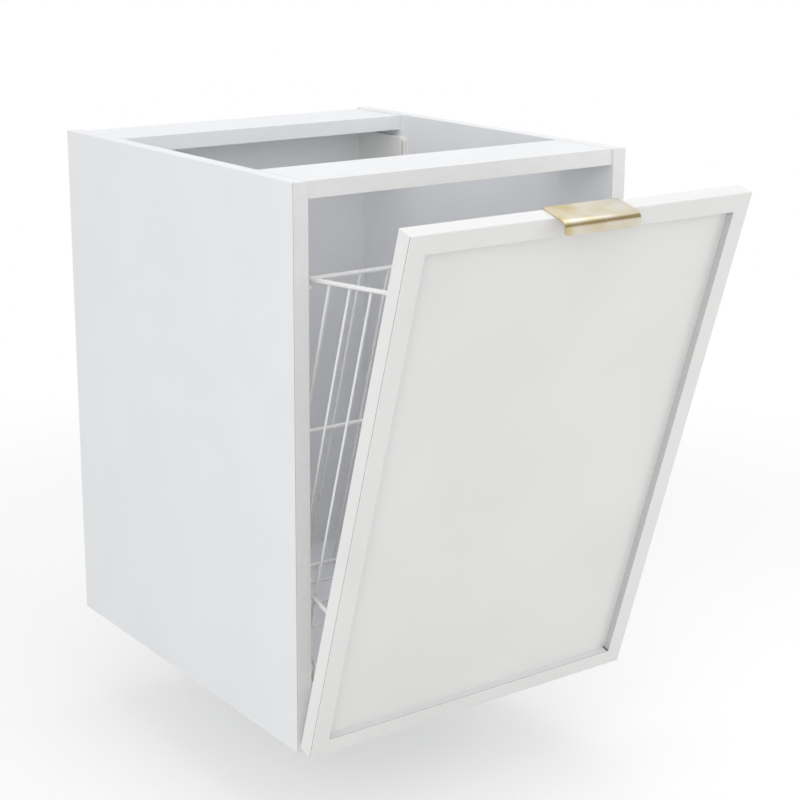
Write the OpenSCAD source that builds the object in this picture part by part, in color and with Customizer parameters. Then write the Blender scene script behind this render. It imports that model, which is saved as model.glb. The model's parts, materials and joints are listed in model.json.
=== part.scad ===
// Wall-hung bathroom laundry cabinet with a tilt-out door and a wire basket.
// Origin at the centre of the carcass underside, X to the right, Y to the wall, Z up.
// The door and the basket are drawn open, leaning on the stop pegs.

/* [Carcass] */
// Width over the side panels
body_w = 450; // [400:5:600]
// Height of the side panels
body_h = 622; // [600:1:720]
// Depth of the side panels with their front edge bands
body_d = 505; // [440:1:560]
// Thickness of the carcass boards
board_t = 18; // [16:1:19]
// Thickness of the edge bands
band_t = 1; // [0.4:0.1:2]
// Depth of the front rail, front to back
rail_d = 94; // [60:1:110]
// How far the front rail sits behind the front edges
rail_setback = 2; // [1:0.5:10]
// Depth of the back rail, front to back
back_rail_d = 81; // [60:1:110]
// How far the back rail sits below the side panels' top edges
back_rail_drop = 1.5; // [0.5:0.5:4]
// Thickness of the back panel
back_t = 3; // [2.5:0.5:6]
// Depth of the open void behind the back panel
back_void = 15; // [12:1:25]
// How far the back panel runs into the side panels
groove_depth = 6; // [3:1:9]
// Distance of the outermost dowels from the ends of each joint
dowel_inset = 18; // [12:1:24]

/* [Door] */
// Angle of the open door from upright, in degrees
open_tilt = 16.2; // [8:0.1:20]
// Thickness of the door
door_t = 20; // [19:0.5:22]
// Reveal between the shut door's side and lower edges and the carcass's outer faces
door_reveal = 1; // [0.5:0.5:4]
// Reveal between the shut door's upper edge and the top of the side panels
door_top_reveal = 0; // [0:0.5:4]
// Gap between the shut door and the side panels
door_gap = 2.5; // [2:0.1:4]
// Width of the raised frame round the door face
frame_w = 21; // [12:1:40]
// Depth of the door's centre panel below the frame
recess_d = 8.5; // [3:0.5:8.5]
// Width of the eased outer edges of the door
door_ease = 0.8; // [0.3:0.1:1.5]
// Diameter of the door bumpers
bumper_d = 8; // [6:0.5:12]
// Gap between the shut door's bumpers and the side panels
bumper_play = 0.5; // [0.3:0.1:1]
// Distance from the door's top edge to the middle of the bumpers
bumper_down = 20; // [10:1:60]

/* [Lip pull] */
// Length of the pull along the door's top edge
pull_l = 100; // [60:1:200]
// Sheet thickness of the pull
pull_t = 1.6; // [1:0.1:2.5]
// How far the pull's flat reaches in front of the door face
pull_reach = 11; // [8:0.5:20]
// Outer radius of the bend from the flat to the lip
pull_bend_r = 6; // [3:0.5:8]
// Length of the straight lip below the bend
pull_lip = 9; // [6:0.5:16]
// Lean of the lip away from the door, in degrees
pull_lean = 16; // [0:1:25]
// Height of the screw flange behind the door
pull_flange = 22; // [18:1:30]
// Distance from the pull's ends to its screws
pull_screw_in = 18; // [8:1:25]
// Radius of the lip's lower corners
pull_corner_r = 5; // [1:0.5:5.5]

/* [Hinges] */
// Distance from each hinge to the cabinet's middle
hinge_x = 125; // [100:1:140]
// Height of the cup's centre above the door's bottom edge
cup_inset = 22.5; // [21.5:0.5:24]
// Diameter of the hinge cup
cup_d = 35; // [34:0.5:36]
// Depth of the hinge cup
cup_depth = 9; // [8.5:0.5:10]
// Height of the cup pin above the door's bottom edge
cup_pin_up = 12; // [11.5:0.25:12.5]
// Distance between the pins of the hinge link
link_len = 24; // [23:0.5:26]
// Diameter of the hinge pins
pin_d = 2.8; // [2.5:0.1:3]
// Width of the hinge link
link_w = 11; // [9:0.5:12]

/* [Basket] */
// Distance from each side panel to the centre of the basket's side rod
basket_gap = 14; // [12:0.5:30]
// Distance from the door's back to the centre of the basket's back rod
basket_depth = 166; // [140:1:200]
// Distance from the door's back to the centre of the basket's front rod
basket_front = 7; // [6:0.5:9]
// Distance from the door's top edge down to the ring's back rod
ring_back_down = 138; // [115:1:160]
// Distance from the door's top edge down to the ring's front rod
ring_front_down = 79; // [60:1:90]
// Height of the basket floor above the door's bottom edge
floor_h = 107; // [95:1:120]
// Height of the rod halfway up the back
mid_rod_h = 295; // [240:1:340]
// Diameter of the thick rods
rod_d = 5; // [4:0.5:6]
// Diameter of the thin wires
wire_d = 3; // [2.5:0.25:3.5]
// Distance from the basket's corners to the first upright wires
upright_edge = 29.2; // [20:0.2:36]
// Number of upright wires in the back and in the front
upright_count = 10; // [6:2:10]
// Distance from the basket's back to the first wire that crosses the floor
floor_first = 32; // [24:0.5:36]
// Distance between the wires that cross the floor
floor_pitch = 34.5; // [28:0.5:36]
// Number of wires that cross the floor
floor_count = 4; // [2:1:4]
// Distance between the three rods under the floor
floor_rod_pitch = 91; // [60:1:130]
// Height of the side loop's upper rod above the door's bottom edge
loop_top_h = 149; // [138:1:152]
// Height of the side loop's lower rod above the door's bottom edge
loop_low_h = 77; // [70:1:82]
// How far the side loops reach behind the door
loop_reach = 84; // [70:1:95]

/* [Clips and stops] */
// Number of spaces between the upright wires from one top clip to the other
top_clip_spaces = 6; // [4:2:8]
// Width of the top clips
top_clip_w = 14; // [12:0.5:18]
// Width of the lower clips
low_clip_w = 16; // [14:0.5:18]
// Depth of the lower clips behind the door
low_clip_d = 32; // [30:1:60]
// Diameter of the stop pegs
peg_d = 7; // [6.5:0.5:10]
// Distance from the ring's back rod down to where the pegs meet the basket
peg_below_ring = 7; // [7:1:40]
// How much of a corner post each peg covers
peg_cover = 2; // [1.5:0.1:3.9]

/* [Wall hangers] */
// Length of a hanger cover, front to back
hanger_l = 96; // [90:1:110]
// Height of a hanger cover
hanger_h = 64; // [63:1:80]
// Thickness of a hanger cover
hanger_t = 8.5; // [8.5:0.5:12]
// Gap between the back rail and the hanger covers
hanger_drop = 8; // [4:0.5:20]
// Radius of the cover's front corners, seen from the side
hanger_corner_r = 7; // [3:0.5:12]
// Radius of the cover's front edge, seen from above
hanger_nose_r = 6; // [2:0.5:6.5]
// Thickness of the hook plate
hook_t = 3; // [2:0.25:4]
// Height of the hook plate
hook_h = 16; // [12:0.5:20]
// Length of the hook's down-turned nose
hook_nose = 14; // [8:0.5:20]
// Travel of the hook up and down from its middle place
hook_travel = 6; // [3:0.5:8]
// Distance from the hook to the end of the side panels
hook_end_gap = 4; // [2:0.5:6]

/* [Fasteners] */
// Diameter of the wooden dowels
dowel_d = 8; // [6:0.5:8]
// Length of the wooden dowels
dowel_l = 30; // [26:1:32]
// Depth of the dowel holes in the side panels
dowel_hole = 12.5; // [10:0.5:13]
// Diameter of the wood screws' shanks
screw_d = 3.5; // [3:0.1:3.8]
// Diameter of the wood screws' heads
screw_head_d = 7; // [6:0.1:7.5]
// Height of the wood screws' heads in the clips and pegs
screw_head_h = 2.2; // [1.8:0.1:2.6]
// Diameter of the peg screws' shanks
peg_screw_d = 3; // [2.5:0.1:3.2]
// Diameter of the peg screws' heads
peg_screw_head_d = 5.5; // [5:0.1:5.7]
// How deep the screws go into the carcass boards
board_bite = 11; // [8:0.5:12]
// How deep the screws go into the door
door_bite = 7.5; // [5:0.5:8]
// Length of the machine screws that hold the hinge arms
arm_screw_l = 8; // [6:0.5:10]

/* [Hidden] */

$fn = 48;
rod_fn = 24;
cut = 1;                  // how far a cutting tool runs past the surface it cuts
seat = 0.3;               // gap between pieces that rest on each other but come apart
weld = 0.3;               // how far welded wires run into each other
slip = 0.05;              // radial clearance of pins, dowels and screws in their holes
joint_gap = 0.2;          // between the rails' ends and the side panels

// Carcass, with y = 0 at the front edges of the side panels
inner_x = body_w / 2 - board_t;
back_y = body_d - back_void - back_t;
rail_z = body_h - board_t;
back_rail_top = body_h - back_rail_drop;

// Door in its shut place
door_w = body_w - 2 * door_reveal;
door_back_y = -door_gap;
door_front_y = door_back_y - door_t;
door_bottom = door_reveal;
door_top = body_h - door_top_reveal;
bumper_t = door_gap - bumper_play;
pull_screw_up = 8;        // from the flange's lower edge to its screws

// Axis that the door turns about, at the foot of its front face
axis_up = 2;
axis_y = door_front_y;
axis_z = door_bottom + axis_up;

// Where a point of the shut door or basket lies once it is turned by the angle a
function turned(p, a) = [
    axis_y + (p[0] - axis_y) * cos(a) - (p[1] - axis_z) * sin(a),
    axis_z + (p[0] - axis_y) * sin(a) + (p[1] - axis_z) * cos(a)
];

// Hinge link: its arm pin lies square to the middle of the cup pin's path
cup_r = cup_d / 2;
cup_wall = 1.2;
cup_flange_t = 1.2;
cup_pin_play = 0.5;       // radial clearance of the link on the cup pin
eye_wall = 1;             // least wall of the link round its pins
eye_r = pin_d / 2 + cup_pin_play + eye_wall;
eye_gap = 0.5;            // between the link's eye and the cup's floor
link_t = 3.2;
cup_pin_in = cup_depth - cup_wall - eye_r - eye_gap;
cup_pin_run = 0.25;       // how far each end of the cup pin runs into the cup's wall
cup_pin_shut = [door_back_y - cup_pin_in, door_bottom + cup_pin_up];
cup_pin_open = turned(cup_pin_shut, open_tilt);
pin_path = cup_pin_open - cup_pin_shut;
pin_chord = norm(pin_path);
arm_pin = (cup_pin_shut + cup_pin_open) / 2
    + [pin_path[1], -pin_path[0]] / pin_chord * sqrt(link_len * link_len - pin_chord * pin_chord / 4);
link_swing = 2 * asin(pin_chord / 2 / link_len);
echo(link_swing = link_swing, link_ratio = -link_swing / open_tilt, arm_pin = arm_pin);

slot_w = 0.8;             // width of the screws' drive slots
slot_d = 1;               // depth of the screws' drive slots
slot_share = 0.6;         // length of a drive slot over the head's diameter

cup_z = door_bottom + cup_inset;
wing_x = 24;              // from the cup's middle to each wing screw
wing_end = 6;             // from the wing screw to the wing's end
wing_up = 5;              // from the cup's middle up to the wing screws
wing_h = 14;
arm_wall = 1.8;
arm_w = link_w + 2 * seat + 2 * arm_wall;
arm_top = arm_pin[1] + eye_r + 2;
arm_back = 62;            // rear end of the arm behind the front edges
arm_web_gap = 2;          // between the link's eye and the web of the arm
arm_head_h = 2;
block_top = arm_top - arm_wall;
plate_y = 37;             // middle of the mounting plate behind the front edges
plate_t = 2;
plate_w = 52;
plate_d = 24;
plate_screw_x = 19;
block_d = 36;

// Basket, drawn round the upright door
side_x = inner_x - basket_gap;
basket_w = 2 * side_x;
ring_back_y = door_back_y + basket_depth;
ring_front_y = door_back_y + basket_front;
ring_back_z = door_top - ring_back_down;
ring_front_z = door_top - ring_front_down;
ring_slope = atan2(ring_front_z - ring_back_z, ring_back_y - ring_front_y);
ring_len = norm([ring_back_y - ring_front_y, ring_front_z - ring_back_z]);
ring_bend = 6;
floor_z = door_bottom + floor_h;
floor_bend = 6;
wire_step = (rod_d + wire_d) / 2 - weld;  // between the centres of a welded rod and wire
rod_step = rod_d - weld;                  // between the centres of two welded rods
side_wire_x = side_x - wire_step;
upright_pitch = (basket_w - 2 * upright_edge) / (upright_count - 1);
loop_bend = 8;
loop_top_z = door_bottom + loop_top_h;
loop_low_z = door_bottom + loop_low_h;
loop_back_y = door_back_y + loop_reach;

// Height of the ring's sloping side rods at the place y
function ring_z_at(y) = ring_front_z
    - (y - ring_front_y) / (ring_back_y - ring_front_y) * (ring_front_z - ring_back_z);

// Stop pegs, square in front of the open basket's back corner posts
peg_meet = turned([ring_back_y, ring_back_z - peg_below_ring], open_tilt);
peg_off = (rod_d + peg_d) / 2 + seat;
peg_y = peg_meet[0] - peg_off * cos(open_tilt);
peg_z = peg_meet[1] - peg_off * sin(open_tilt);
peg_tip_x = side_x + rod_d / 2 - peg_cover;
peg_l = inner_x - peg_tip_x;

// Basket clips
top_clip_x = top_clip_spaces / 2 * upright_pitch;
top_clip_low = 12;        // below the ring's front rod
top_clip_high = 11;       // above the ring's front rod
top_clip_flange = 15;
low_clip_low = 14;        // below the loop's lower rod
low_clip_high = 8;        // above the loop's lower rod
low_clip_flange = 18;
low_clip_front = 1;       // wall of the lower clip's groove at the door
clip_wall = 3.5;
clip_slot_r = rod_d / 2 + seat;

// Wall hangers, with the cover's top a little below the back rail
hanger_top = back_rail_top - board_t - hanger_drop;
hanger_low = hanger_top - hanger_h;
hanger_wall = 1.5;
hanger_plate_t = 2;
hanger_lid_gap = 3.5;     // from the cover's outline to the plate's
hanger_rib_t = 4;
hanger_rib_gap = 3;       // from the cover's face to the rib
hook_down = 30;           // from the cover's top to the hook's middle
hook_in = 46;             // how far the hook reaches in front of the back panel
hook_nose_d = 5;
hook_gap = 1;
hook_z = hanger_top - hook_down;
hook_x = inner_x - hanger_t / 2;
hook_front_y = back_y - hook_in;
hook_end_y = body_d - hook_end_gap;
hanger_screw_in = 10;     // from the cover's front to its two front screws
hanger_screw_up = 14;     // from the cover's ends to the same screws
hanger_screw_back = 30;   // from the back panel to the rear screw
adjuster_in = [20, 40];   // from the cover's front to the adjusters
adjuster_up = 24;
adjuster_r = 3.6;
adjuster_h = hanger_t - hanger_plate_t - hanger_wall;
adjuster_y = back_y - hanger_l;
adjuster_z = hanger_low + adjuster_up;
adjuster_window = 1;      // between an adjuster and the edge of its window
adjuster_slot_d = 2;

dowel_end = 0.5;          // glue space at the end of each dowel

white_board = [0.93, 0.93, 0.925];
white_wire = [0.95, 0.95, 0.945];
nylon = [0.96, 0.96, 0.95];
steel = [0.72, 0.73, 0.74];
gold = [0.80, 0.69, 0.47];
beech = [0.82, 0.67, 0.47];

// Moves a piece from the front edges' frame to the model's own
module in_carcass() {
    translate([0, -body_d / 2, 0]) children();
}

// Turns what is drawn upright and shut to the open place
module opened() {
    in_carcass() translate([0, axis_y, axis_z]) rotate([open_tilt, 0, 0])
        translate([0, -axis_y, -axis_z]) children();
}

// Box from its lowest corner to its highest
module block(low, high) {
    translate(low) cube(high - low);
}

module mirrored(side) {
    if (side < 0) mirror([1, 0, 0]) children();
    else children();
}

// Round bar along one axis, centred on a point
module bar_x(p, d, l) {
    translate(p) rotate([0, 90, 0]) cylinder(d = d, h = l, center = true, $fn = rod_fn);
}

module bar_y(p, d, l) {
    translate(p) rotate([90, 0, 0]) cylinder(d = d, h = l, center = true, $fn = rod_fn);
}

module bar_z(p, d, l) {
    translate(p) cylinder(d = d, h = l, $fn = rod_fn);
}

// Quarter bend in the XY plane, from the X axis to the Y axis
module quarter_bend(r, d) {
    rotate_extrude(angle = 90, $fn = rod_fn) translate([r, 0]) circle(d = d, $fn = rod_fn);
}

// Crossed drive slots in a head of diameter d, from z = 0 down
module drive_slots(d, depth) {
    for (a = [0, 90]) rotate([0, 0, a])
        translate([-d * slot_share / 2, -slot_w / 2, -depth])
            cube([d * slot_share, slot_w, depth + cut]);
}

// Countersunk wood screw, its head's face at z = 0 and its shank downwards
module wood_screw(l, head_h, d = screw_d, head_d = screw_head_d) {
    difference() {
        union() {
            translate([0, 0, -head_h]) cylinder(d1 = d, d2 = head_d, h = head_h, $fn = rod_fn);
            translate([0, 0, -l]) cylinder(d = d, h = l - head_h / 2, $fn = rod_fn);
        }
        drive_slots(head_d, slot_d);
    }
}

// Hole for a screw's shank, and a countersink for its head
module screw_hole(l, d = screw_d) {
    translate([0, 0, -l - slot_d])
        cylinder(d = d + 2 * slip, h = l + slot_d + cut, $fn = rod_fn);
}

module head_hole(head_h, d = screw_d, head_d = screw_head_d) {
    translate([0, 0, -head_h])
        cylinder(d1 = d + 2 * slip, d2 = head_d + 2 * slip, h = head_h, $fn = rod_fn);
    cylinder(d = head_d + 2 * slip, h = cut, $fn = rod_fn);
}

// Places for the screws: each child is drawn with its head's face at the origin, pointing up
module at_peg(side) {
    translate([side * peg_tip_x, peg_y, peg_z]) rotate([0, side * -90, 0]) children();
}

module at_hanger_screws(side) {
    front = back_y - hanger_l + hanger_screw_in;
    for (p = [[front, hanger_top - hanger_screw_up], [front, hanger_low + hanger_screw_up],
              [back_y - hanger_screw_back, hanger_low + hanger_screw_up]])
        translate([side * (inner_x - hanger_plate_t), p[0], p[1]]) rotate([0, side * -90, 0]) children();
}

module at_plate_screws() {
    for (h = [-1, 1], s = [-1, 1])
        translate([h * hinge_x + s * plate_screw_x, plate_y, board_t + plate_t]) children();
}

module at_cup_screws() {
    for (h = [-1, 1], s = [-1, 1])
        translate([h * hinge_x + s * wing_x, door_back_y + cup_flange_t, cup_z + wing_up])
            rotate([-90, 0, 0]) children();
}

module at_pull_screws() {
    for (s = [-1, 1])
        translate([s * (pull_l / 2 - pull_screw_in), door_back_y + pull_t,
                   door_top - pull_flange + pull_screw_up])
            rotate([-90, 0, 0]) children();
}

module at_clip_screws() {
    for (s = [-1, 1]) {
        translate([s * top_clip_x, door_back_y + clip_wall,
                   ring_front_z + top_clip_high + top_clip_flange / 2])
            rotate([-90, 0, 0]) children();
        translate([s * side_x, door_back_y + clip_wall, loop_low_z - low_clip_low - low_clip_flange / 2])
            rotate([-90, 0, 0]) children();
    }
}

// Place on a side panel's inner face, with +z into the panel
module at_joint(side, y, z) {
    translate([side * inner_x, y, z]) rotate([0, side * 90, 0]) children();
}

// Dowel places along the rails' and the bottom panel's joints
module at_dowels() {
    for (s = [-1, 1]) {
        for (y = [dowel_inset, rail_d - dowel_inset])
            at_joint(s, rail_setback + y, body_h - board_t / 2) children();
        for (y = [dowel_inset, back_rail_d - dowel_inset])
            at_joint(s, back_y - back_rail_d + y, back_rail_top - board_t / 2) children();
        for (y = [3 * dowel_inset, back_y / 2, back_y - 3 * dowel_inset])
            at_joint(s, y, board_t / 2) children();
    }
}

module dowel_holes() {
    at_dowels() translate([0, 0, dowel_hole - dowel_l - 2 * dowel_end])
        cylinder(r = dowel_d / 2 + slip, h = dowel_l + 2 * dowel_end, $fn = rod_fn);
}

module side_panel(side) {
    color(white_board) in_carcass() difference() {
        block([min(side * inner_x, side * body_w / 2), band_t, 0],
              [max(side * inner_x, side * body_w / 2), body_d, body_h]);
        translate([side * inner_x, back_y, 0]) mirrored(side)
            translate([-cut, 0, -cut]) cube([groove_depth + cut, back_t, body_h + 2 * cut]);
        dowel_holes();
        at_peg(side) screw_hole(peg_l + board_bite, peg_screw_d);
        at_hanger_screws(side) screw_hole(hanger_plate_t + board_bite);
    }
}

module bottom_panel() {
    color(white_board) in_carcass() difference() {
        block([-inner_x, band_t, 0], [inner_x, back_y, board_t]);
        dowel_holes();
        at_plate_screws() screw_hole(plate_t + board_bite);
    }
}

// Rail between the side panels, its ends a hair short of them
module top_rail(y0, y1, top) {
    color(white_board) in_carcass() difference() {
        block([joint_gap - inner_x, y0, top - board_t], [inner_x - joint_gap, y1, top]);
        dowel_holes();
    }
}

// Thin panel in the side panels' grooves, with a slot for each hanger hook
module back_panel() {
    half_w = hook_t / 2 + hook_gap;
    reach = hook_h / 2 + hook_travel + hook_gap;
    color(white_board) in_carcass() difference() {
        block([-inner_x - groove_depth, back_y, 0],
              [inner_x + groove_depth, back_y + back_t, body_h]);
        for (s = [-1, 1])
            block([s * hook_x - half_w, back_y - cut, hook_z - reach - hook_nose],
                  [s * hook_x + half_w, back_y + back_t + cut, hook_z + reach]);
    }
}

module side_edge_band(side) {
    color(white_board) in_carcass()
        block([min(side * inner_x, side * body_w / 2), 0, 0],
              [max(side * inner_x, side * body_w / 2), band_t, body_h]);
}

module rail_edge_band() {
    color(white_board) in_carcass()
        block([joint_gap - inner_x, rail_setback, rail_z],
              [inner_x - joint_gap, rail_setback + band_t, body_h]);
}

module bottom_edge_band() {
    color(white_board) in_carcass() block([-inner_x, 0, 0], [inner_x, band_t, board_t]);
}

module carcass_dowels() {
    color(beech) in_carcass() at_dowels() translate([0, 0, dowel_hole - dowel_l - dowel_end])
        cylinder(d = dowel_d, h = dowel_l, $fn = rod_fn);
}

// Steel plate on the side panel, with a rib in front of the hook
module hanger_plate(side) {
    lid = hanger_lid_gap;
    color(steel) in_carcass() mirrored(side) difference() {
        union() {
            block([inner_x - hanger_plate_t, back_y - hanger_l + lid, hanger_low + lid],
                  [inner_x, back_y - lid, hanger_top - lid]);
            block([inner_x - hanger_t + hanger_rib_gap, hook_front_y - seat - hanger_rib_t, hook_z - hook_h],
                  [inner_x, hook_front_y - seat, hook_z + hook_h]);
        }
        at_hanger_screws(1) {
            screw_hole(hanger_plate_t);
            head_hole(hanger_plate_t);
        }
    }
}

// Outline of the cover seen from the side, its two front corners round
module cover_outline(shrink) {
    r = hanger_corner_r - shrink;
    y0 = back_y - hanger_l + shrink;
    z0 = hanger_low + shrink;
    z1 = hanger_top - shrink;
    union() {
        translate([y0 + r, z0]) square([back_y - y0 - r, z1 - z0]);
        translate([y0, z0 + r]) square([r + cut, z1 - z0 - 2 * r]);
        translate([y0 + r, z0 + r]) circle(r = r);
        translate([y0 + r, z1 - r]) circle(r = r);
    }
}

// Extrudes an outline drawn in Y and Z from x0 to x1
module side_extrude(x0, x1) {
    translate([x0, 0, 0]) rotate([90, 0, 90]) linear_extrude(x1 - x0) children();
}

// Outline of the cover seen from above, its front edge round
module cover_plan() {
    r = hanger_nose_r;
    y0 = back_y - hanger_l;
    union() {
        translate([inner_x - hanger_t, y0 + r]) square([hanger_t, hanger_l - r]);
        translate([inner_x - hanger_t + r, y0]) square([hanger_t - r, r + cut]);
        translate([inner_x - hanger_t + r, y0 + r]) circle(r = r);
    }
}

module hanger_cover(side) {
    color(nylon) in_carcass() mirrored(side) difference() {
        intersection() {
            side_extrude(inner_x - hanger_t, inner_x) cover_outline(0);
            translate([0, 0, hanger_low]) linear_extrude(hanger_h) cover_plan();
        }
        side_extrude(inner_x - hanger_t + hanger_wall, inner_x + cut) cover_outline(hanger_wall);
        block([inner_x - hanger_t + hanger_wall, back_y - hanger_wall, hanger_low + hanger_wall],
              [inner_x + cut, back_y + cut, hanger_top - hanger_wall]);
        for (y = adjuster_in)
            translate([inner_x - hanger_t - cut, adjuster_y + y, adjuster_z]) rotate([0, 90, 0])
                cylinder(r = adjuster_r + adjuster_window, h = hanger_wall + 2 * cut);
    }
}

// Flat hook that reaches through the back panel and turns down behind it
module hanger_hook(side) {
    color(steel) in_carcass() mirrored(side)
        side_extrude(hook_x - hook_t / 2, hook_x + hook_t / 2) union() {
            translate([hook_front_y, hook_z - hook_h / 2]) square([hook_end_y - hook_front_y, hook_h]);
            translate([hook_end_y - hook_nose_d, hook_z - hook_h / 2 - hook_nose])
                square([hook_nose_d, hook_nose + cut]);
        }
}

// Cross-slotted screw heads that set the hook's height and depth
module hanger_adjusters() {
    color(steel) in_carcass() for (s = [-1, 1], y = adjuster_in)
        mirrored(s) translate([inner_x - hanger_plate_t, adjuster_y + y, adjuster_z])
            rotate([0, -90, 0]) difference() {
                cylinder(r = adjuster_r, h = adjuster_h);
                translate([0, 0, adjuster_h]) drive_slots(2 * adjuster_r, adjuster_slot_d);
            }
}

module hanger_screws() {
    color(steel) in_carcass() for (s = [-1, 1])
        at_hanger_screws(s) wood_screw(hanger_plate_t + board_bite, hanger_plate_t);
}

// Base plate with the raised block that the hinge arm straddles
module hinge_mounting_plates() {
    color(steel) in_carcass() difference() {
        for (h = [-1, 1]) translate([h * hinge_x, 0, 0]) {
            block([-plate_w / 2, plate_y - plate_d / 2, board_t],
                  [plate_w / 2, plate_y + plate_d / 2, board_t + plate_t]);
            block([-link_w / 2, plate_y - block_d / 2, board_t],
                  [link_w / 2, plate_y + block_d / 2, block_top]);
        }
        at_plate_screws() {
            screw_hole(plate_t);
            head_hole(plate_t);
        }
        at_arm_screws() screw_hole(arm_screw_l);
    }
}

module at_arm_screws() {
    for (h = [-1, 1]) translate([h * hinge_x, plate_y, arm_top]) children();
}

// Folded arm with two ears for the link's pin
module hinge_arms() {
    color(steel) in_carcass() difference() {
        for (h = [-1, 1]) translate([h * hinge_x, 0, 0]) {
            for (s = [-1, 1]) translate([s * (arm_w - arm_wall) / 2, 0, 0]) {
                block([-arm_wall / 2, arm_pin[0], arm_pin[1] - eye_r], [arm_wall / 2, arm_back, arm_top]);
                translate([0, arm_pin[0], arm_pin[1]]) rotate([0, 90, 0])
                    cylinder(r = eye_r, h = arm_wall, center = true);
            }
            block([-arm_w / 2, arm_pin[0] + eye_r + arm_web_gap, block_top],
                  [arm_w / 2, arm_back, arm_top]);
        }
        for (h = [-1, 1])
            bar_x([h * hinge_x, arm_pin[0], arm_pin[1]], pin_d + 2 * slip, arm_w + 2 * cut);
        at_arm_screws() screw_hole(arm_screw_l);
    }
}

module hinge_arm_pins() {
    color(steel) in_carcass() for (h = [-1, 1])
        bar_x([h * hinge_x, arm_pin[0], arm_pin[1]], pin_d, arm_w);
}

module hinge_arm_screws() {
    color(steel) in_carcass() at_arm_screws() {
        translate([0, 0, -arm_screw_l]) cylinder(d = screw_d, h = arm_screw_l, $fn = rod_fn);
        difference() {
            cylinder(d = screw_head_d, h = arm_head_h);
            translate([0, 0, arm_head_h]) drive_slots(screw_head_d, slot_d);
        }
    }
}

module hinge_plate_screws() {
    color(steel) in_carcass() at_plate_screws() wood_screw(plate_t + board_bite, plate_t);
}

// Link between the arm's pin and the cup's pin, drawn where the open door holds it
module hinge_link(side) {
    reach = cup_pin_open - arm_pin;
    color(steel) in_carcass() translate([side * hinge_x, 0, 0]) difference() {
        union() {
            for (p = [arm_pin, cup_pin_open])
                translate([0, p[0], p[1]]) rotate([0, 90, 0]) cylinder(r = eye_r, h = link_w, center = true);
            translate([0, arm_pin[0], arm_pin[1]]) rotate([atan2(reach[1], reach[0]), 0, 0])
                translate([-link_w / 2, 0, -link_t / 2]) cube([link_w, link_len, link_t]);
        }
        bar_x([0, arm_pin[0], arm_pin[1]], pin_d + 2 * slip, link_w + 2 * cut);
        bar_x([0, cup_pin_open[0], cup_pin_open[1]], pin_d + 2 * cup_pin_play, link_w + 2 * cut);
    }
}

// Nylon peg, screwed to the side panel from its tip
module stop_pegs() {
    color(nylon) in_carcass() for (s = [-1, 1]) difference() {
        at_peg(s) translate([0, 0, -peg_l]) cylinder(d = peg_d, h = peg_l);
        at_peg(s) {
            screw_hole(peg_l, peg_screw_d);
            head_hole(screw_head_h, peg_screw_d, peg_screw_head_d);
        }
    }
}

module stop_peg_screws() {
    color(steel) in_carcass() for (s = [-1, 1])
        at_peg(s) wood_screw(peg_l + board_bite, screw_head_h, peg_screw_d, peg_screw_head_d);
}

// Box with its twelve edges eased by the chamfer e
module eased_block(low, high, e) {
    intersection() {
        eased_prism(low[0], low[1], high[0], high[1], low[2], high[2], e);
        rotate([90, 0, 90]) eased_prism(low[1], low[2], high[1], high[2], low[0], high[0], e);
        rotate([90, 0, 0]) eased_prism(low[0], low[2], high[0], high[2], -high[1], -low[1], e);
    }
}

module eased_prism(x0, y0, x1, y1, z0, z1, e) {
    translate([0, 0, z0]) linear_extrude(z1 - z0) polygon([
        [x0 + e, y0], [x1 - e, y0], [x1, y0 + e], [x1, y1 - e],
        [x1 - e, y1], [x0 + e, y1], [x0, y1 - e], [x0, y0 + e]
    ]);
}

// Slim framed door in one piece, with its hinge cup bores
module door_panel() {
    color(white_board) opened() difference() {
        eased_block([-door_w / 2, door_front_y, door_bottom], [door_w / 2, door_back_y, door_top],
                    door_ease);
        block([-door_w / 2 + frame_w, door_front_y - cut, door_bottom + frame_w],
              [door_w / 2 - frame_w, door_front_y + recess_d, door_top - frame_w]);
        for (h = [-1, 1]) translate([h * hinge_x, door_back_y + cut, cup_z]) rotate([90, 0, 0])
            cylinder(r = cup_r + slip, h = cup_depth + cut + slip);
        at_cup_screws() screw_hole(cup_flange_t + door_bite);
        at_pull_screws() screw_hole(pull_t + door_bite);
        at_clip_screws() screw_hole(clip_wall + door_bite);
    }
}

// Bent sheet over the door's top edge: screw flange, flat, bend and leaning lip
module lip_pull() {
    color(gold) opened() difference() {
        union() {
            block([-pull_l / 2, door_back_y, door_top - pull_flange],
                  [pull_l / 2, door_back_y + pull_t, door_top + pull_t]);
            block([-pull_l / 2, door_front_y - pull_reach, door_top],
                  [pull_l / 2, door_back_y + pull_t, door_top + pull_t]);
            translate([-pull_l / 2, door_front_y - pull_reach, door_top + pull_t - pull_bend_r])
                rotate([90, 0, 90]) {
                    rotate([0, 0, 90]) rotate_extrude(angle = 90 - pull_lean, $fn = 96)
                        translate([pull_bend_r - pull_t, 0]) square([pull_t, pull_l]);
                    rotate([0, 0, 90 - pull_lean]) translate([0, pull_bend_r, 0])
                        rotate([90, 0, 0]) linear_extrude(pull_t) lip_outline();
                }
        }
        at_pull_screws() {
            screw_hole(pull_t);
            head_hole(pull_t);
        }
    }
}

// The flat lip, its free edge at -pull_lip, with the two corners there round
module lip_outline() {
    r = pull_corner_r;
    union() {
        translate([r - pull_lip, 0]) square([pull_lip - r, pull_l]);
        translate([-pull_lip, r]) square([pull_lip, pull_l - 2 * r]);
        for (v = [r, pull_l - r]) translate([r - pull_lip, v]) circle(r = r);
    }
}

module lip_pull_screws() {
    color(gold) opened() at_pull_screws() wood_screw(pull_t + door_bite, pull_t);
}

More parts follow.
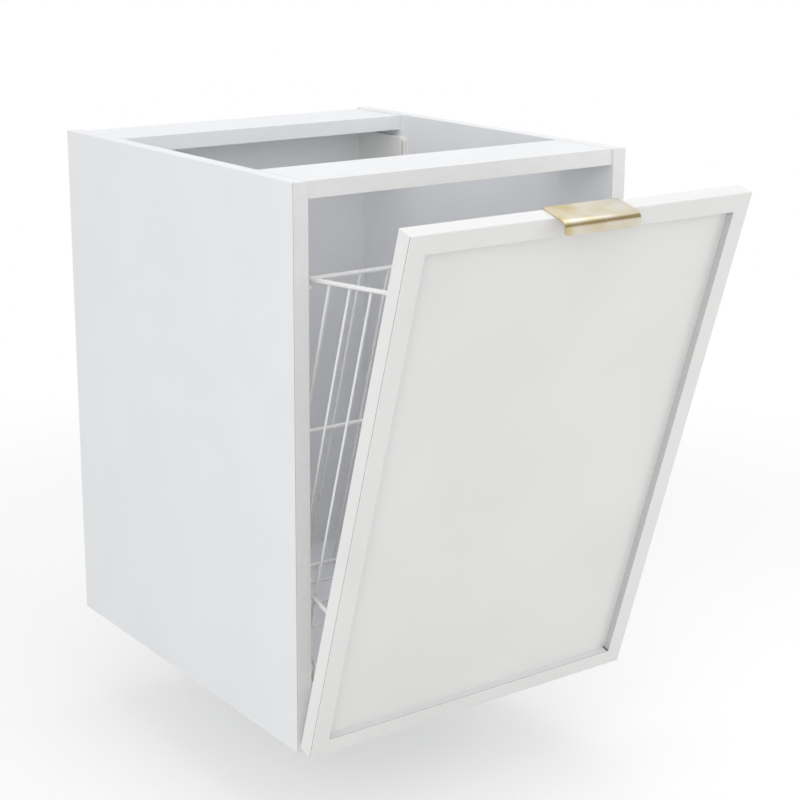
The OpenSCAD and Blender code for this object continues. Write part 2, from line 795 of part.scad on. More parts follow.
// Pressed cup with a floor, a winged flange on the door's back and two holes for its pin
module hinge_cups() {
    color(steel) opened() difference() {
        for (h = [-1, 1]) translate([h * hinge_x, door_back_y, cup_z]) rotate([-90, 0, 0]) {
            translate([0, 0, -cup_depth]) cylinder(r = cup_r, h = cup_depth + cup_flange_t);
            translate([-wing_x - wing_end, -wing_up - wing_h / 2, 0])
                cube([2 * (wing_x + wing_end), wing_h, cup_flange_t]);
        }
        for (h = [-1, 1]) {
            translate([h * hinge_x, door_back_y, cup_z]) rotate([-90, 0, 0])
                translate([0, 0, cup_wall - cup_depth])
                    cylinder(r = cup_r - cup_wall, h = cup_depth + cup_flange_t);
            bar_x([h * hinge_x, cup_pin_shut[0], cup_pin_shut[1]], pin_d + 2 * slip, cup_d);
        }
        at_cup_screws() {
            screw_hole(cup_flange_t);
            head_hole(cup_flange_t);
        }
    }
}

module hinge_cup_pins() {
    half = sqrt(pow(cup_r - cup_wall, 2) - pow(cup_inset - cup_pin_up, 2));
    color(steel) opened() for (h = [-1, 1])
        bar_x([h * hinge_x, cup_pin_shut[0], cup_pin_shut[1]], pin_d,
              2 * (half + cup_pin_run));
}

module hinge_cup_screws() {
    color(steel) opened() at_cup_screws() wood_screw(cup_flange_t + door_bite, cup_flange_t);
}

// Open-topped hooks that the ring's front rod drops into
module basket_top_clips() {
    color(nylon) opened() difference() {
        for (s = [-1, 1]) translate([s * top_clip_x, 0, 0]) {
            block([-top_clip_w / 2, door_back_y, ring_front_z - top_clip_low],
                  [top_clip_w / 2, ring_front_y + clip_slot_r + clip_wall, ring_front_z + top_clip_high]);
            block([-top_clip_w / 2, door_back_y, ring_front_z],
                  [top_clip_w / 2, door_back_y + clip_wall,
                   ring_front_z + top_clip_high + top_clip_flange]);
        }
        bar_x([0, ring_front_y, ring_front_z], 2 * clip_slot_r, body_w);
        block([-body_w / 2, ring_front_y - clip_slot_r, ring_front_z],
              [body_w / 2, ring_front_y + clip_slot_r, ring_front_z + top_clip_high + cut]);
        at_clip_screws() {
            screw_hole(clip_wall);
            head_hole(screw_head_h);
        }
    }
}

// Grooved brackets that carry the lower rods of the basket's side loops
module basket_low_clips() {
    front = door_back_y + low_clip_front;
    back = door_back_y + low_clip_d;
    top = loop_low_z + low_clip_high;
    color(nylon) opened() difference() {
        for (s = [-1, 1]) mirrored(s) translate([side_x, 0, 0]) {
            block([-low_clip_w / 2, door_back_y, loop_low_z - low_clip_low], [low_clip_w / 2, back, top]);
            block([-low_clip_w / 2, door_back_y, loop_low_z - low_clip_low - low_clip_flange],
                  [low_clip_w / 2, door_back_y + clip_wall, loop_low_z]);
        }
        for (s = [-1, 1]) mirrored(s) translate([side_x, 0, 0]) {
            translate([0, front, loop_low_z]) rotate([-90, 0, 0])
                cylinder(r = clip_slot_r, h = low_clip_d, $fn = rod_fn);
            block([-clip_slot_r, front, loop_low_z], [clip_slot_r, back + cut, top + cut]);
        }
        at_clip_screws() {
            screw_hole(clip_wall);
            head_hole(screw_head_h);
        }
    }
}

module basket_clip_screws() {
    color(steel) opened() at_clip_screws() wood_screw(clip_wall + door_bite, screw_head_h);
}

// Soft dots on the door's back, in front of the side panels' edges
module door_bumpers() {
    color([0.9, 0.9, 0.9]) opened() for (s = [-1, 1])
        translate([s * (inner_x + board_t / 2), door_back_y, door_top - bumper_down]) rotate([-90, 0, 0])
            cylinder(d = bumper_d, h = bumper_t);
}

// Top ring of the basket: four straight rods and four bends, lower at the back
module basket_top_ring() {
    half_l = ring_len / 2;
    color(white_wire) opened()
        translate([0, (ring_back_y + ring_front_y) / 2, (ring_back_z + ring_front_z) / 2])
        rotate([-ring_slope, 0, 0]) union() {
            for (s = [-1, 1]) {
                bar_y([s * side_x, 0, 0], rod_d, ring_len - 2 * ring_bend);
                bar_x([0, s * half_l, 0], rod_d, basket_w - 2 * ring_bend);
            }
            for (k = [0 : 3], sx = (k == 0 || k == 3) ? 1 : -1, sy = k < 2 ? 1 : -1)
                translate([sx * (side_x - ring_bend), sy * (half_l - ring_bend), 0])
                    rotate([0, 0, 90 * k]) quarter_bend(ring_bend, rod_d);
        }
}

module basket_corner_posts() {
    low_back = floor_z - rod_step / 2;
    color(white_wire) opened() for (s = [-1, 1]) {
        bar_z([s * side_x, ring_back_y, low_back], rod_d, ring_back_z - low_back);
        bar_z([s * side_x, ring_front_y, loop_low_z + loop_bend], rod_d,
              ring_front_z - loop_low_z - loop_bend);
    }
}

// Two rods across the inside of the back
module basket_back_rods() {
    color(white_wire) opened() for (z = [door_bottom + mid_rod_h, floor_z])
        bar_x([0, ring_back_y - wire_step, z], rod_d, basket_w);
}

module basket_front_rod() {
    color(white_wire) opened() bar_x([0, ring_front_y + wire_step, floor_z], rod_d, basket_w);
}

module upright_wires(y, top) {
    low = floor_z - wire_step;
    color(white_wire) opened() for (i = [0 : upright_count - 1])
        bar_z([(i - (upright_count - 1) / 2) * upright_pitch, y, low], wire_d, top - low);
}

function floor_wire_y(i) = ring_back_y - floor_first - i * floor_pitch;

// Side parts of the wires that run down one side, across the floor and up the other
module side_uprights(side) {
    color(white_wire) opened() for (i = [0 : floor_count - 1])
        bar_z([side * side_wire_x, floor_wire_y(i), floor_z + floor_bend], wire_d,
              ring_z_at(floor_wire_y(i)) - floor_z - floor_bend);
}

// Floor parts of the same wires, with the bends at their ends
module basket_floor_wires() {
    color(white_wire) opened() for (i = [0 : floor_count - 1]) {
        bar_x([0, floor_wire_y(i), floor_z], wire_d, 2 * (side_wire_x - floor_bend));
        for (s = [-1, 1])
            translate([s * (side_wire_x - floor_bend), floor_wire_y(i), floor_z + floor_bend])
                mirrored(s) rotate([-90, 0, 0]) quarter_bend(floor_bend, wire_d);
    }
}

module basket_floor_rods() {
    color(white_wire) opened() for (s = [-1 : 1])
        bar_y([s * floor_rod_pitch, (ring_back_y + ring_front_y) / 2, floor_z - wire_step], rod_d,
              ring_back_y - ring_front_y);
}

// Side loop: it bends out from under the front post, turns up and comes back to the post
module basket_loop(side) {
    x = side * side_x;
    y0 = ring_front_y;
    y1 = loop_back_y - loop_bend;
    color(white_wire) opened() {
        bar_y([x, (y0 + y1) / 2, loop_top_z], rod_d, y1 - y0);
        bar_y([x, (y0 + loop_bend + y1) / 2, loop_low_z], rod_d, y1 - y0 - loop_bend);
        bar_z([x, loop_back_y, loop_low_z + loop_bend], rod_d, loop_top_z - loop_low_z - 2 * loop_bend);
        translate([x, y1, loop_top_z - loop_bend]) rotate([90, 0, 90]) quarter_bend(loop_bend, rod_d);
        translate([x, y1, loop_low_z + loop_bend]) rotate([0, 90, 0]) quarter_bend(loop_bend, rod_d);
        translate([x, y0 + loop_bend, loop_low_z + loop_bend]) rotate([180, 90, 0])
            quarter_bend(loop_bend, rod_d);
    }
}

side_panel(-1);  // side_panel_left
side_panel(1);  // side_panel_right
bottom_panel();
top_rail(rail_setback + band_t, rail_setback + rail_d, body_h);  // front_top_rail
top_rail(back_y - back_rail_d, back_y, back_rail_top);  // back_top_rail
back_panel();
side_edge_band(-1);  // side_edge_band_left
side_edge_band(1);  // side_edge_band_right
rail_edge_band();
bottom_edge_band();
carcass_dowels();
hanger_plate(-1);  // hanger_plate_left
hanger_plate(1);  // hanger_plate_right
hanger_cover(-1);  // hanger_cover_left
hanger_cover(1);  // hanger_cover_right
hanger_hook(-1);  // hanger_hook_left
hanger_hook(1);  // hanger_hook_right
hanger_adjusters();
hanger_screws();
hinge_mounting_plates();
hinge_arms();
hinge_arm_pins();
hinge_arm_screws();
hinge_plate_screws();
hinge_link(-1);  // hinge_link_left
hinge_link(1);  // hinge_link_right
stop_pegs();
stop_peg_screws();
door_panel();
lip_pull();
lip_pull_screws();
hinge_cups();
hinge_cup_pins();
hinge_cup_screws();
basket_top_clips();
basket_low_clips();
basket_clip_screws();
door_bumpers();
basket_top_ring();
basket_corner_posts();
basket_back_rods();
basket_front_rod();
upright_wires(ring_back_y, ring_back_z);  // basket_back_uprights
upright_wires(ring_front_y, ring_front_z);  // basket_front_uprights
side_uprights(-1);  // basket_left_uprights
side_uprights(1);  // basket_right_uprights
basket_floor_wires();
basket_floor_rods();
basket_loop(-1);  // basket_loop_left
basket_loop(1);  // basket_loop_right
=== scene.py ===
import json
import math
import bpy
from mathutils import Matrix, Vector


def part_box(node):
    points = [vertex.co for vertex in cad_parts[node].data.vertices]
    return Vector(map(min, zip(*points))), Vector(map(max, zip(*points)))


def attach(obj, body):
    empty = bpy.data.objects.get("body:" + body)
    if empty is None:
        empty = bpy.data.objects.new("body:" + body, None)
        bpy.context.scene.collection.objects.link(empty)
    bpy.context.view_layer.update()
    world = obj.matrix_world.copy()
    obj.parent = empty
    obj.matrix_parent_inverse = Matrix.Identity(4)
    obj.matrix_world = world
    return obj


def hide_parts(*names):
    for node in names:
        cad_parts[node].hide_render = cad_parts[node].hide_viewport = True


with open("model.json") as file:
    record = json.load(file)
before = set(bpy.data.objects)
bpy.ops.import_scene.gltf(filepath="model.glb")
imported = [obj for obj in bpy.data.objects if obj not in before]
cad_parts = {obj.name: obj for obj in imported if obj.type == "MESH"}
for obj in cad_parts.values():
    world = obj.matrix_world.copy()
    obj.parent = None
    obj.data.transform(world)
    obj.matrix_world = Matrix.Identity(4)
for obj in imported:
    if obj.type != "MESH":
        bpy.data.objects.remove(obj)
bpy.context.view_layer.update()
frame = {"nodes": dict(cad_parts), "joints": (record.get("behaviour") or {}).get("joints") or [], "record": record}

nodes = frame["nodes"]
mm = 0.001
smoothBelow = 35  # degrees between two faces, above which an edge stays sharp
print("laundry cabinet: frame loaded with", len(nodes), "nodes")


def deselectAll():
    if bpy.context.mode != "OBJECT":
        bpy.ops.object.mode_set(mode="OBJECT")
    bpy.ops.object.select_all(action="DESELECT")


def pick(piece):
    piece.select_set(True)
    bpy.context.view_layer.objects.active = piece


# the door is packed leaning open; its own pieces are modelled upright and then tilted
doorHinge = next(joint for joint in frame["joints"] if joint["name"] == "door_tilt")
doorTilt = math.radians(-doorHinge["range_deg"][0])
hingePoint = Vector(doorHinge["pos_m"])  # on the hinges' axis, which runs along X


def hingeTurn(angle):
    # a turn about the hinges' axis
    turn = Matrix.Rotation(angle, 4, "X")
    return Matrix.Translation(hingePoint) @ turn @ Matrix.Translation(-hingePoint)


def tiltOpen(piece):
    piece.matrix_world = hingeTurn(doorTilt)
    deselectAll()
    pick(piece)
    bpy.ops.object.transform_apply(location=True, rotation=True, scale=True)


def uprightBox(nodeName):
    # the lowest and highest corners that a node of the door has when it stands upright
    back = hingeTurn(-doorTilt)
    points = [back @ vertex.co for vertex in nodes[nodeName].data.vertices]
    low = Vector([min(point[axis] for point in points) for axis in range(3)])
    high = Vector([max(point[axis] for point in points) for axis in range(3)])
    return low, high


doorLow, doorHigh = uprightBox("door_panel")


# materials; in each dictionary sizes and depth are in mm, and rough is the range of roughness

def linear(code):
    # an sRGB hex value as a linear colour
    parts = [int(code[place:place + 2], 16) / 255 for place in (1, 3, 5)]
    levels = [p / 12.92 if p <= 0.04045 else ((p + 0.055) / 1.055) ** 2.4 for p in parts]
    return (*levels, 1.0)


def addNode(tree, kind, settings=None, values=None, links=None):
    # settings are the node's own options, values its unlinked sockets, links what feeds its sockets
    node = tree.nodes.new(kind)
    for name, value in (settings or {}).items():
        setattr(node, name, value)
    for socket, value in (values or {}).items():
        node.inputs[socket].default_value = value
    for socket, source in (links or {}).items():
        tree.links.new(source, node.inputs[socket])
    return node


def startMaterial(name, sockets):
    material = bpy.data.materials.new(name)
    material.use_nodes = True
    tree = material.node_tree
    shader = tree.nodes["Principled BSDF"]
    for socket, value in sockets.items():
        shader.inputs[socket].default_value = value
    coords = addNode(tree, "ShaderNodeTexCoord").outputs["Object"]
    return material, tree, shader, coords


def perMm(size):
    # noise scale in one over metres for a grain of this many millimetres
    return 1 / (size * mm)


def tint(tree, shader, factor, look):
    # noise mostly stays near its middle, so the two colours are set close to that
    lowAt, highAt = look.get("span", (0.35, 0.65))
    ramp = addNode(tree, "ShaderNodeValToRGB", links={"Fac": factor})
    first, last = ramp.color_ramp.elements
    first.position = lowAt
    first.color = linear(look["low"])
    last.position = highAt
    last.color = linear(look["high"])
    tree.links.new(ramp.outputs["Color"], shader.inputs["Base Color"])


def gloss(tree, shader, factor, look):
    smoothest, roughest = look["rough"]
    spread = addNode(tree, "ShaderNodeMapRange", links={"Value": factor},
                     values={"To Min": smoothest, "To Max": roughest})
    tree.links.new(spread.outputs["Result"], shader.inputs["Roughness"])


def relief(tree, shader, height, look):
    bump = addNode(tree, "ShaderNodeBump", links={"Height": height},
                   values={"Distance": look["depth"] * mm, "Strength": 1.0})
    tree.links.new(bump.outputs["Normal"], shader.inputs["Normal"])


def melamineBoard():
    # particle board faced with white melamine paper, pressed against a finely pearled steel plate:
    # an even, cool white with a low sheen that breaks up softly
    look = {"pearl": 1.6, "cloud": 90, "depth": 0.006, "rough": (0.38, 0.47),
            "low": "#EFF0F2", "high": "#F1F2F4"}
    material, tree, shader, coords = startMaterial("melamineFacedBoard", {"IOR": 1.5})
    # the real pearl is about 0.3 mm, drawn coarser so that it shows
    pearl = addNode(tree, "ShaderNodeTexNoise", links={"Vector": coords},
                    values={"Scale": perMm(look["pearl"]), "Detail": 2.0}).outputs["Fac"]
    cloud = addNode(tree, "ShaderNodeTexNoise", links={"Vector": coords},
                    values={"Scale": perMm(look["cloud"]), "Detail": 1.0}).outputs["Fac"]
    tint(tree, shader, cloud, look)
    gloss(tree, shader, pearl, look)
    relief(tree, shader, pearl, look)
    return material


def edgeBandPlastic():
    # extruded ABS band, 1 mm thick, glued on and scraped flush: a touch smoother than the board,
    # with a very faint mottle that the scraper's drag leaves
    look = {"drag": 7, "depth": 0.004, "rough": (0.33, 0.38), "low": "#EBEBEA", "high": "#EEEEED"}
    material, tree, shader, coords = startMaterial("scrapedAbsEdgeBand", {"IOR": 1.53})
    mottle = addNode(tree, "ShaderNodeTexNoise", links={"Vector": coords},
                     values={"Scale": perMm(look["drag"]), "Detail": 2.0}).outputs["Fac"]
    tint(tree, shader, mottle, look)
    gloss(tree, shader, mottle, look)
    relief(tree, shader, mottle, look)
    return material


def satinLacquer():
    # routed fibreboard sprayed with satin polyurethane lacquer: a smooth warm white
    # with the very slight orange peel that a spray gun leaves
    look = {"peel": 3.5, "cloud": 140, "depth": 0.02, "rough": (0.31, 0.38),
            "low": "#EEEDEC", "high": "#F1F0EF"}
    material, tree, shader, coords = startMaterial("sprayedSatinLacquer", {
        "IOR": 1.5, "Coat Weight": 0.15, "Coat Roughness": 0.25})
    peel = addNode(tree, "ShaderNodeTexNoise", links={"Vector": coords},
                   values={"Scale": perMm(look["peel"]), "Detail": 1.0}).outputs["Fac"]
    cloud = addNode(tree, "ShaderNodeTexNoise", links={"Vector": coords},
                    values={"Scale": perMm(look["cloud"]), "Detail": 1.0}).outputs["Fac"]
    tint(tree, shader, cloud, look)
    gloss(tree, shader, peel, look)
    relief(tree, shader, peel, look)
    return material


def recessShadeWall(name, low, high):
    # the routed wall of the door's recess: coloured greyer than the face as painted shade of the recess, and
    # matter than the face
    look = {"fibre": 1.2, "depth": 0.03, "rough": (0.55, 0.65), "low": low, "high": high}
    material, tree, shader, coords = startMaterial(name, {"IOR": 1.48})
    fibre = addNode(tree, "ShaderNodeTexNoise", links={"Vector": coords},
                    values={"Scale": perMm(look["fibre"]), "Detail": 3.0}).outputs["Fac"]
    tint(tree, shader, fibre, look)
    gloss(tree, shader, fibre, look)
    relief(tree, shader, fibre, look)
    return material


def shadeHairline(name, low, high):
    # a soft grey hairline of painted shade; at the bands' edges it also stands for hot-melt glue squeezed thin in
    # the seam and wiped
    look = {"smear": 4, "rough": (0.45, 0.6), "low": low, "high": high}
    material, tree, shader, coords = startMaterial(name, {"IOR": 1.5})
    smear = addNode(tree, "ShaderNodeTexNoise", links={"Vector": coords},
                    values={"Scale": perMm(look["smear"]), "Detail": 2.0}).outputs["Fac"]
    tint(tree, shader, smear, look)
    gloss(tree, shader, smear, look)
    return material


def paintedHardboard():
    # 3 mm fibreboard with a rolled white coat: matter than the boards, with a faint fibre fleck
    look = {"fleck": 2.2, "depth": 0.015, "rough": (0.5, 0.6), "low": "#F2F3F5", "high": "#F5F6F8"}
    material, tree, shader, coords = startMaterial("rollerCoatedFibreboard", {"IOR": 1.48})
    fleck = addNode(tree, "ShaderNodeTexNoise", links={"Vector": coords},
                    values={"Scale": perMm(look["fleck"]), "Detail": 5.0}).outputs["Fac"]
    tint(tree, shader, fleck, look)
    gloss(tree, shader, fleck, look)
    relief(tree, shader, fleck, look)
    return material


def brushedBrass():
    # brass sheet with a pale champagne lacquer, brushed along its length: long fine streaks, and the lacquer runs
    # from thin to thick, so the gold shows through in soft patches; a painted reflection pales the colour towards
    # the pull's right end
    look = {"streak": 0.5, "length": 60, "patch": 26, "depth": 0.002, "rough": (0.24, 0.33),
            "low": "#CBBB8C", "high": "#DDD8CB", "span": (0.32, 0.66), "streakShare": 0.25,
            "end": 50, "leftSheen": -0.1, "rightSheen": 0.12}
    material, tree, shader, coords = startMaterial("lengthwiseBrushedBrass", {"Metallic": 1.0})
    stretch = (perMm(look["length"]), perMm(look["streak"]), perMm(look["streak"]))
    run = addNode(tree, "ShaderNodeMapping", values={"Scale": stretch},
                  links={"Vector": coords}).outputs["Vector"]
    streaks = addNode(tree, "ShaderNodeTexNoise", links={"Vector": run},
                      values={"Scale": 1.0, "Detail": 4.0, "Roughness": 0.6}).outputs["Fac"]
    patches = addNode(tree, "ShaderNodeTexNoise", links={"Vector": coords},
                      values={"Scale": perMm(look["patch"]), "Detail": 0.5}).outputs["Fac"]
    # painted reflection: the colour pales towards the right end of the pull
    across = addNode(tree, "ShaderNodeSeparateXYZ", links={"Vector": coords}).outputs["X"]
    paintedSheen = addNode(tree, "ShaderNodeMapRange", links={"Value": across}, values={
        "From Min": -look["end"] * mm, "From Max": look["end"] * mm,
        "To Min": look["leftSheen"], "To Max": look["rightSheen"]}).outputs["Result"]
    coatAndSheen = addNode(tree, "ShaderNodeMath", {"operation": "ADD"}, links={0: patches, 1: paintedSheen})
    mixed = addNode(tree, "ShaderNodeMix", values={"Factor": look["streakShare"]},
                    links={"A": coatAndSheen.outputs["Value"], "B": streaks})
    tint(tree, shader, mixed.outputs["Result"], look)
    gloss(tree, shader, streaks, look)
    relief(tree, shader, streaks, look)
    return material


def coatedWire():
    # drawn steel wire dipped in white epoxy powder and fused: a rounded, glossy coat with soft runs
    look = {"run": 5, "depth": 0.03, "rough": (0.2, 0.3), "low": "#EDEDED", "high": "#F4F4F3"}
    material, tree, shader, coords = startMaterial("epoxyCoatedWire", {
        "IOR": 1.52, "Coat Weight": 0.3, "Coat Roughness": 0.12})
    runs = addNode(tree, "ShaderNodeTexNoise", links={"Vector": coords},
                   values={"Scale": perMm(look["run"]), "Detail": 1.5}).outputs["Fac"]
    tint(tree, shader, runs, look)
    gloss(tree, shader, runs, look)
    relief(tree, shader, runs, look)
    return material


def mouldedNylon():
    # injection-moulded white nylon from a spark-eroded tool: waxy, with a fine even grain
    # and a little light passing into its edges
    look = {"grain": 0.8, "depth": 0.01, "rough": (0.36, 0.46), "low": "#EAEAE7", "high": "#F0F0ED"}
    material, tree, shader, coords = startMaterial("mouldedNylon", {
        "IOR": 1.53, "Subsurface Weight": 0.08, "Subsurface Scale": 0.002,
        "Subsurface Radius": (1.0, 0.97, 0.92)})
    grain = addNode(tree, "ShaderNodeTexNoise", links={"Vector": coords},
                    values={"Scale": perMm(look["grain"]), "Detail": 2.0}).outputs["Fac"]
    tint(tree, shader, grain, look)
    gloss(tree, shader, grain, look)
    relief(tree, shader, grain, look)
    return material


def platedSteel(name, look):
    material, tree, shader, coords = startMaterial(name, {"Metallic": 1.0})
    patch = addNode(tree, "ShaderNodeTexNoise", links={"Vector": coords},
                    values={"Scale": perMm(look["patch"]), "Detail": 3.0}).outputs["Fac"]
    grain = addNode(tree, "ShaderNodeTexNoise", links={"Vector": coords},
                    values={"Scale": perMm(look["grain"]), "Detail": 2.0}).outputs["Fac"]
    tint(tree, shader, patch, look)
    gloss(tree, shader, patch, look)
    relief(tree, shader, grain, look)
    return material


def beechDowelWood():
    # turned beech with pressed flutes: pinkish tan with short darker rays along the dowel
    look = {"ray": 0.7, "length": 9, "depth": 0.05, "rough": (0.55, 0.68),
            "low": "#C29A6B", "high": "#D9B98C"}
    material, tree, shader, coords = startMaterial("turnedBeech", {"IOR": 1.5})
    stretch = (perMm(look["length"]), perMm(look["ray"]), perMm(look["ray"]))
    run = addNode(tree, "ShaderNodeMapping", values={"Scale": stretch},
                  links={"Vector": coords}).outputs["Vector"]
    rays = addNode(tree, "ShaderNodeTexNoise", links={"Vector": run},
                   values={"Scale": 1.0, "Detail": 3.0}).outputs["Fac"]
    tint(tree, shader, rays, look)
    gloss(tree, shader, rays, look)
    relief(tree, shader, rays, look)
    return material


def castBumper():
    # cast clear polyurethane dot: soft, glossy and slightly milky
    look = {"haze": 1.5, "rough": (0.14, 0.24), "low": "#DADADA", "high": "#E6E6E6"}
    material, tree, shader, coords = startMaterial("castClearBumper", {
        "IOR": 1.5, "Transmission Weight": 0.35})
    haze = addNode(tree, "ShaderNodeTexNoise", links={"Vector": coords},
                   values={"Scale": perMm(look["haze"]), "Detail": 1.0}).outputs["Fac"]
    tint(tree, shader, haze, look)
    gloss(tree, shader, haze, look)
    return material


finishes = {
    "white_melamine": melamineBoard(),
    "white_edge_band": edgeBandPlastic(),
    "white_lacquer": satinLacquer(),
    "white_hardboard": paintedHardboard(),
    "beech": beechDowelWood(),
    # bright zinc plating on steel: bluish, with cloudy patches from the bath
    "zinc_steel": platedSteel("brightZincPlate", {
        "patch": 6, "grain": 0.5, "depth": 0.004, "rough": (0.24, 0.38),
        "low": "#B4B8BC", "high": "#C9CCCF"}),
    # nickel plating over stamped steel: warmer and smoother, with faint press marks
    "nickel_steel": platedSteel("satinNickelPlate", {
        "patch": 9, "grain": 0.8, "depth": 0.003, "rough": (0.18, 0.32),
        "low": "#B9B5AE", "high": "#CFCBC4"}),
    "white_nylon": mouldedNylon(),
    "clear_bumper": castBumper(),
    "brushed_brass": brushedBrass(),
    "white_wire": coatedWire(),
}

for part in frame["record"]["subparts"]:
    shown = nodes[part["node"]].data
    shown.materials.clear()
    shown.materials.append(finishes[part["material_slot"]])


def finishPiece(piece, body, slotName, *replaced, finish=None):
    piece.data.materials.clear()
    piece.data.materials.append(finish or finishes[slotName])
    deselectAll()
    pick(piece)
    bpy.ops.object.shade_smooth_by_angle(angle=math.radians(smoothBelow))
    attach(piece, body)
    if replaced:
        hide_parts(*replaced)


# the lip pull: one brass sheet bent over the door's top edge, with its arrises brushed round;
# sizes in mm and angles in degrees, the lip's lean from upright; edgePick and cornerPick say
# how near to the sheet's end an edge or a corner lies to be picked
pull = {"sheet": 1.6, "flange": 22, "reach": 8, "bend": 9, "bendSteps": 14, "lip": 6.8, "lean": 16,
        "corner": 5, "cornerSteps": 8, "arris": 0.35, "arrisSteps": 3, "arrisAngle": 50,
        "edgePick": 1, "cornerPick": 0.1, "merge": 0.01}


def selectParts(piece, kind, test):
    # kind is "edges" or "vertices"; the choice is made by place, in object mode
    bpy.ops.object.mode_set(mode="OBJECT")
    mesh = piece.data
    for group in (mesh.polygons, mesh.edges, mesh.vertices):
        for part in group:
            part.select = False
    for part in getattr(mesh, kind):
        if kind == "edges":
            start, end = [mesh.vertices[number].co for number in part.vertices]
            part.select = test((start + end) / 2)
        else:
            part.select = test(part.co)
    bpy.ops.object.mode_set(mode="EDIT")


def makePull():
    pullLow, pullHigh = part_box("lip_pull")
    sheet = pull["sheet"] * mm
    near = pull["edgePick"] * mm
    front = doorLow.y - pull["reach"] * mm
    rear = doorHigh.y + sheet / 2
    top = doorHigh.z + sheet / 2
    # the flat over the door, drawn in the middle of the sheet
    bpy.ops.mesh.primitive_plane_add(size=1, location=(0, (front + rear) / 2, top))
    piece = bpy.context.active_object
    piece.name = "pullSheet"
    piece.scale = (pullHigh[0] - pullLow[0], rear - front, 1)
    bpy.ops.object.transform_apply(location=True, rotation=True, scale=True)
    deselectAll()
    pick(piece)
    bpy.ops.object.mode_set(mode="EDIT")
    bpy.ops.mesh.select_mode(type="EDGE")
    # the flange goes down behind the door
    selectParts(piece, "edges", lambda spot: spot.y > rear - near)
    drop = -pull["flange"] * mm - sheet / 2
    bpy.ops.mesh.extrude_region_move(TRANSFORM_OT_translate={"value": (0, 0, drop)})
    # bend and lip in front
    turn = math.radians(90 - pull["lean"])
    bendCentre = (0, front, top - pull["bend"] * mm + sheet / 2)
    selectParts(piece, "edges", lambda spot: spot.y < front + near)
    bpy.ops.mesh.spin(steps=pull["bendSteps"], angle=turn, center=bendCentre, axis=(-1, 0, 0))
    lip = pull["lip"] * mm
    down = (0, -math.cos(turn) * lip, -math.sin(turn) * lip)
    bpy.ops.mesh.extrude_region_move(TRANSFORM_OT_translate={"value": down})
    # the lip's two free corners are round
    bpy.ops.object.mode_set(mode="OBJECT")
    tip = min(vertex.co.y for vertex in piece.data.vertices) + pull["cornerPick"] * mm
    selectParts(piece, "vertices", lambda spot: spot.y < tip)
    bpy.ops.mesh.select_mode(type="VERT")
    bpy.ops.mesh.bevel(offset=pull["corner"] * mm, affect="VERTICES", segments=pull["cornerSteps"])
    bpy.ops.mesh.select_all(action="SELECT")
    bpy.ops.mesh.remove_doubles(threshold=pull["merge"] * mm)
    bpy.ops.mesh.normals_make_consistent(inside=False)
    bpy.ops.object.mode_set(mode="OBJECT")
    wall = piece.modifiers.new("wall", "SOLIDIFY")
    wall.thickness = sheet
    wall.offset = 0
    wall.use_even_offset = True
    arris = piece.modifiers.new("arris", "BEVEL")
    arris.width = pull["arris"] * mm
    arris.segments = pull["arrisSteps"]
    arris.limit_method = "ANGLE"
    arris.angle_limit = math.radians(pull["arrisAngle"])
    deselectAll()
    pick(piece)
    for name in ("wall", "arris"):
        bpy.ops.object.modifier_apply(modifier=name)
    tiltOpen(piece)
    finishPiece(piece, "door", "brushed_brass", "lip_pull")


makePull()
print("laundry cabinet: lip pull bent")


def addBlock(corner, opposite):
    corner, opposite = Vector(corner), Vector(opposite)
    bpy.ops.mesh.primitive_cube_add(size=1, location=(corner + opposite) / 2)
    block = bpy.context.active_object
    block.scale = [abs(side) for side in opposite - corner]
    deselectAll()
    pick(block)
    bpy.ops.object.transform_apply(location=True, rotation=True, scale=True)
    return block


def joinBlocks(blocks, name):
    deselectAll()
    for block in blocks:
        pick(block)
    bpy.ops.object.join()
    whole = bpy.context.active_object
    whole.name = name
    return whole


# the door's recess: its routed walls get thin skins on the board, coloured greyer as painted shade, and a dark
# patch in the lower right corner paints the shade of a small open notch that the cutter left; sizes in mm
recess = {"frame": 21, "depth": 8.5, "skin": 0.06, "notch": 2.6,
          "sideLow": "#C8C8C8", "sideHigh": "#D0D0D0",
          "ledgeLow": "#DEDEDE", "ledgeHigh": "#E4E4E4",
          "notchLow": "#555554", "notchHigh": "#666665"}


def makeRecess():
    frameWidth = recess["frame"] * mm
    skin = recess["skin"] * mm
    left, right = doorLow.x + frameWidth, doorHigh.x - frameWidth
    low, high = doorLow.z + frameWidth, doorHigh.z - frameWidth
    bed = doorLow.y + recess["depth"] * mm
    face = doorLow.y + skin
    sides = joinBlocks([
        addBlock((left, face, low), (left + skin, bed, high)),
        addBlock((right - skin, face, low), (right, bed, high)),
    ], "recessSides")
    tiltOpen(sides)
    sideShade = recessShadeWall("lacquerAcrossFibres", recess["sideLow"], recess["sideHigh"])
    finishPiece(sides, "door", "white_lacquer", finish=sideShade)
    ledges = joinBlocks([
        addBlock((left, face, low), (right, bed, low + skin)),
        addBlock((left, face, high - skin), (right, bed, high)),
    ], "recessLedges")
    tiltOpen(ledges)
    ledgeShade = recessShadeWall("lacquerAlongFibres", recess["ledgeLow"], recess["ledgeHigh"])
    finishPiece(ledges, "door", "white_lacquer", finish=ledgeShade)
    # the notch's painted shade: a dark patch that lies on the lower ledge
    notch = addBlock((right - recess["notch"] * mm, face + skin, low + skin),
                     (right - skin, bed, low + 2 * skin))
    notch.name = "recessCornerNotch"
    tiltOpen(notch)
    notchShade = shadeHairline("openNotch", recess["notchLow"], recess["notchHigh"])
    finishPiece(notch, "door", "white_lacquer", finish=notchShade)


makeRecess()
print("laundry cabinet: door recess coated")


# seams that read as fine grey lines: at the bands' edges hot-melt glue wiped off, deepened with painted shade; at
# the rails' butt joints and along the door's arrises, painted shade only; sizes in mm
seams = {"width": 0.7, "skin": 0.04, "ledgeLine": 0.5, "low": "#8E8E8C", "high": "#A3A3A1"}


